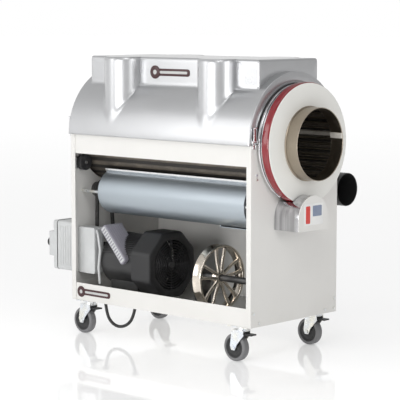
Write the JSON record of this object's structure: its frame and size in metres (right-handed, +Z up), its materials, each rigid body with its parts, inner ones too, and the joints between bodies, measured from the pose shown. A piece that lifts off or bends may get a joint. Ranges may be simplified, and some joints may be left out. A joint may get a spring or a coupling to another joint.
{
  "type": "rotary drum trimming machine",
  "caption": "Floor-standing rotary drum trimmer on swivel casters, with a hinged silver hood, an open in-feed neck, a suction trough, belt drive and a rear outlet.",
  "frame": {"origin": "on the floor, under the middle of the whole object's box (the power cord's loop left out)", "axes": "+X along the drum towards the in-feed neck, -Y the open front with the apron, +Z up"},
  "size_m": [1.2134, 0.646, 1.07],
  "materials": {
    "frame_white": "off-white powder coat",
    "hood_silver": "silver metallic paint",
    "trough_grey": "blue-grey satin",
    "steel": "ground steel",
    "neck_steel": "brushed stainless",
    "cage_steel": "stainless, darkened by resin",
    "chrome": "bright plated",
    "ring_red": "gloss red",
    "disc_white": "white satin",
    "black_metal": "black enamel",
    "black_plastic": "moulded black",
    "box_grey": "light grey moulded",
    "cover_grey": "grey moulded, ribbed",
    "zinc": "zinc plated",
    "tread_grey": "grey tread on a black core",
    "belt_black": "belt rubber",
    "cast_aluminium": "polished casting",
    "dark_iron": "machined iron",
    "roller_black": "black polyurethane",
    "cord_black": "black cable jacket",
    "guard_polished": "polished steel"
  },
  "bodies": {
    "root": {"side_panel_left": "frame_white", "side_panel_right": "frame_white", "base_pan": "frame_white", "front_rail": "frame_white", "rear_panel": "frame_white", "panel_bolts": "zinc", "suction_trough": "trough_grey", "trough_spacers": "zinc", "outlet_box": "black_metal", "fixed_knife": "chrome", "hinge_blocks": "zinc", "latch_keepers": "chrome", "roller_brackets": "steel", "drive_belts": "belt_black", "shaft_bearings": "dark_iron", "motor_body": "black_metal", "motor_fan_cover": "black_plastic", "capacitor_cover": "cover_grey", "control_box": "box_grey", "control_box_lid": "box_grey", "junction_box": "box_grey", "cord_glands": "black_plastic", "drive_guard": "guard_polished", "drive_guard_cover": "frame_white", "caster_plates": "zinc", "power_cord": "cord_black"},
    "hood": {"hood": "hood_silver", "hinge_leaves": "zinc", "latch_bases": "chrome"},
    "latch_right": {"latch_lever_right": "chrome"},
    "latch_left": {"latch_lever_left": "chrome"},
    "drum": {"drum_cage": "cage_steel", "drum_collars": "chrome", "drum_drive_ring": "ring_red", "drum_disc": "disc_white", "drum_neck": "neck_steel"},
    "reel": {"cutting_reel": "steel", "reel_pulleys": "dark_iron"},
    "motor": {"motor_rotor": "dark_iron"},
    "countershaft": {"jack_shaft": "dark_iron", "spoked_wheel": "cast_aluminium"},
    "drive": {"drive_shaft": "dark_iron", "drive_roller": "roller_black"},
    "knob": {"selector_knob": "black_plastic"},
    "roller_front_left": {"roller_front_left": "roller_black"},
    "roller_front_right": {"roller_front_right": "roller_black"},
    "roller_rear_left": {"roller_rear_left": "roller_black"},
    "roller_rear_right": {"roller_rear_right": "roller_black"},
    "swivel_front_left": {"caster_fork_front_left": "zinc"},
    "wheel_front_left": {"caster_wheel_front_left": "tread_grey"},
    "pedal_front_left": {"brake_pedal_front_left": "black_plastic"},
    "swivel_front_right": {"caster_fork_front_right": "zinc"},
    "wheel_front_right": {"caster_wheel_front_right": "tread_grey"},
    "pedal_front_right": {"brake_pedal_front_right": "black_plastic"},
    "swivel_rear_left": {"caster_fork_rear_left": "zinc"},
    "wheel_rear_left": {"caster_wheel_rear_left": "tread_grey"},
    "pedal_rear_left": {"brake_pedal_rear_left": "black_plastic"},
    "swivel_rear_right": {"caster_fork_rear_right": "zinc"},
    "wheel_rear_right": {"caster_wheel_rear_right": "tread_grey"},
    "pedal_rear_right": {"brake_pedal_rear_right": "black_plastic"}
  },
  "joints": [
    {"name": "hood_hinge", "type": "hinge", "parent": "root", "child": "hood", "pos_m": [0.0337, 0.19198, 0.777], "axis": [-1, 0, 0], "range_deg": [0, 80]},
    {"name": "latch_right_lever", "type": "hinge", "parent": "hood", "child": "latch_right", "pos_m": [0.4997, -0.30102, 0.786], "axis": [0, 1, 0], "range_deg": [0, 110]},
    {"name": "latch_left_lever", "type": "hinge", "parent": "hood", "child": "latch_left", "pos_m": [-0.4323, -0.30102, 0.786], "axis": [0, -1, 0], "range_deg": [0, 110]},
    {"name": "reel_spin", "type": "hinge", "parent": "root", "child": "reel", "pos_m": [0.0337, -0.18002, 0.55002], "axis": [1, 0, 0], "continuous": true},
    {"name": "motor_spin", "type": "hinge", "parent": "root", "child": "motor", "pos_m": [-0.3813, -0.17002, 0.29], "axis": [1, 0, 0], "continuous": true},
    {"name": "countershaft_spin", "type": "hinge", "parent": "root", "child": "countershaft", "pos_m": [0.2137, -0.17002, 0.268], "axis": [1, 0, 0], "continuous": true},
    {"name": "drive_spin", "type": "hinge", "parent": "root", "child": "drive", "pos_m": [0.4337, -0.10302, 0.5262], "axis": [1, 0, 0], "continuous": true},
    {"name": "drum_spin", "type": "hinge", "parent": "root", "child": "drum", "pos_m": [0.0337, -0.07002, 0.7724], "axis": [1, 0, 0], "continuous": true},
    {"name": "knob_turn", "type": "hinge", "parent": "root", "child": "knob", "pos_m": [-0.5513, -0.26002, 0.335], "axis": [-1, 0, 0], "range_deg": [0, 90]},
    {"name": "roller_front_left_spin", "type": "hinge", "parent": "root", "child": "roller_front_left", "pos_m": [-0.4063, -0.26002, 0.6607], "axis": [1, 0, 0], "continuous": true},
    {"name": "roller_front_right_spin", "type": "hinge", "parent": "root", "child": "roller_front_right", "pos_m": [0.4737, -0.26002, 0.6607], "axis": [1, 0, 0], "continuous": true},
    {"name": "roller_rear_left_spin", "type": "hinge", "parent": "root", "child": "roller_rear_left", "pos_m": [-0.4063, 0.11998, 0.6607], "axis": [1, 0, 0], "continuous": true},
    {"name": "roller_rear_right_spin", "type": "hinge", "parent": "root", "child": "roller_rear_right", "pos_m": [0.4737, 0.11998, 0.6607], "axis": [1, 0, 0], "continuous": true},
    {"name": "swivel_front_left_turn", "type": "hinge", "parent": "root", "child": "swivel_front_left", "pos_m": [-0.3593, -0.27602, 0.1276], "axis": [0, 0, 1], "continuous": true},
    {"name": "wheel_front_left_roll", "type": "hinge", "parent": "swivel_front_left", "child": "wheel_front_left", "pos_m": [-0.3893, -0.27602, 0.05], "axis": [0, 1, 0], "continuous": true},
    {"name": "pedal_front_left_press", "type": "hinge", "parent": "swivel_front_left", "child": "pedal_front_left", "pos_m": [-0.3453, -0.27602, 0.104], "axis": [0, 1, 0], "range_deg": [0, 12]},
    {"name": "swivel_front_right_turn", "type": "hinge", "parent": "root", "child": "swivel_front_right", "pos_m": [0.4267, -0.27602, 0.1276], "axis": [0, 0, 1], "continuous": true},
    {"name": "wheel_front_right_roll", "type": "hinge", "parent": "swivel_front_right", "child": "wheel_front_right", "pos_m": [0.3967, -0.27602, 0.05], "axis": [0, 1, 0], "continuous": true},
    {"name": "pedal_front_right_press", "type": "hinge", "parent": "swivel_front_right", "child": "pedal_front_right", "pos_m": [0.4407, -0.27602, 0.104], "axis": [0, 1, 0], "range_deg": [0, 12]},
    {"name": "swivel_rear_left_turn", "type": "hinge", "parent": "root", "child": "swivel_rear_left", "pos_m": [-0.3593, 0.13598, 0.1276], "axis": [0, 0, 1], "continuous": true},
    {"name": "wheel_rear_left_roll", "type": "hinge", "parent": "swivel_rear_left", "child": "wheel_rear_left", "pos_m": [-0.3893, 0.13598, 0.05], "axis": [0, 1, 0], "continuous": true},
    {"name": "pedal_rear_left_press", "type": "hinge", "parent": "swivel_rear_left", "child": "pedal_rear_left", "pos_m": [-0.3453, 0.13598, 0.104], "axis": [0, 1, 0], "range_deg": [0, 12]},
    {"name": "swivel_rear_right_turn", "type": "hinge", "parent": "root", "child": "swivel_rear_right", "pos_m": [0.4267, 0.13598, 0.1276], "axis": [0, 0, 1], "continuous": true},
    {"name": "wheel_rear_right_roll", "type": "hinge", "parent": "swivel_rear_right", "child": "wheel_rear_right", "pos_m": [0.3967, 0.13598, 0.05], "axis": [0, 1, 0], "continuous": true},
    {"name": "pedal_rear_right_press", "type": "hinge", "parent": "swivel_rear_right", "child": "pedal_rear_right", "pos_m": [0.4407, 0.13598, 0.104], "axis": [0, 1, 0], "range_deg": [0, 12]}
  ],
  "couplings": [
    {"joint": "motor_spin", "follows": "reel_spin", "ratio": 0.69636},
    {"joint": "countershaft_spin", "follows": "reel_spin", "ratio": 0.31144},
    {"joint": "drive_spin", "follows": "reel_spin", "ratio": 0.19734},
    {"joint": "drum_spin", "follows": "reel_spin", "ratio": -0.02716},
    {"joint": "roller_front_left_spin", "follows": "reel_spin", "ratio": 0.17199},
    {"joint": "roller_front_right_spin", "follows": "reel_spin", "ratio": 0.17199},
    {"joint": "roller_rear_left_spin", "follows": "reel_spin", "ratio": 0.17199},
    {"joint": "roller_rear_right_spin", "follows": "reel_spin", "ratio": 0.17199}
  ]
}
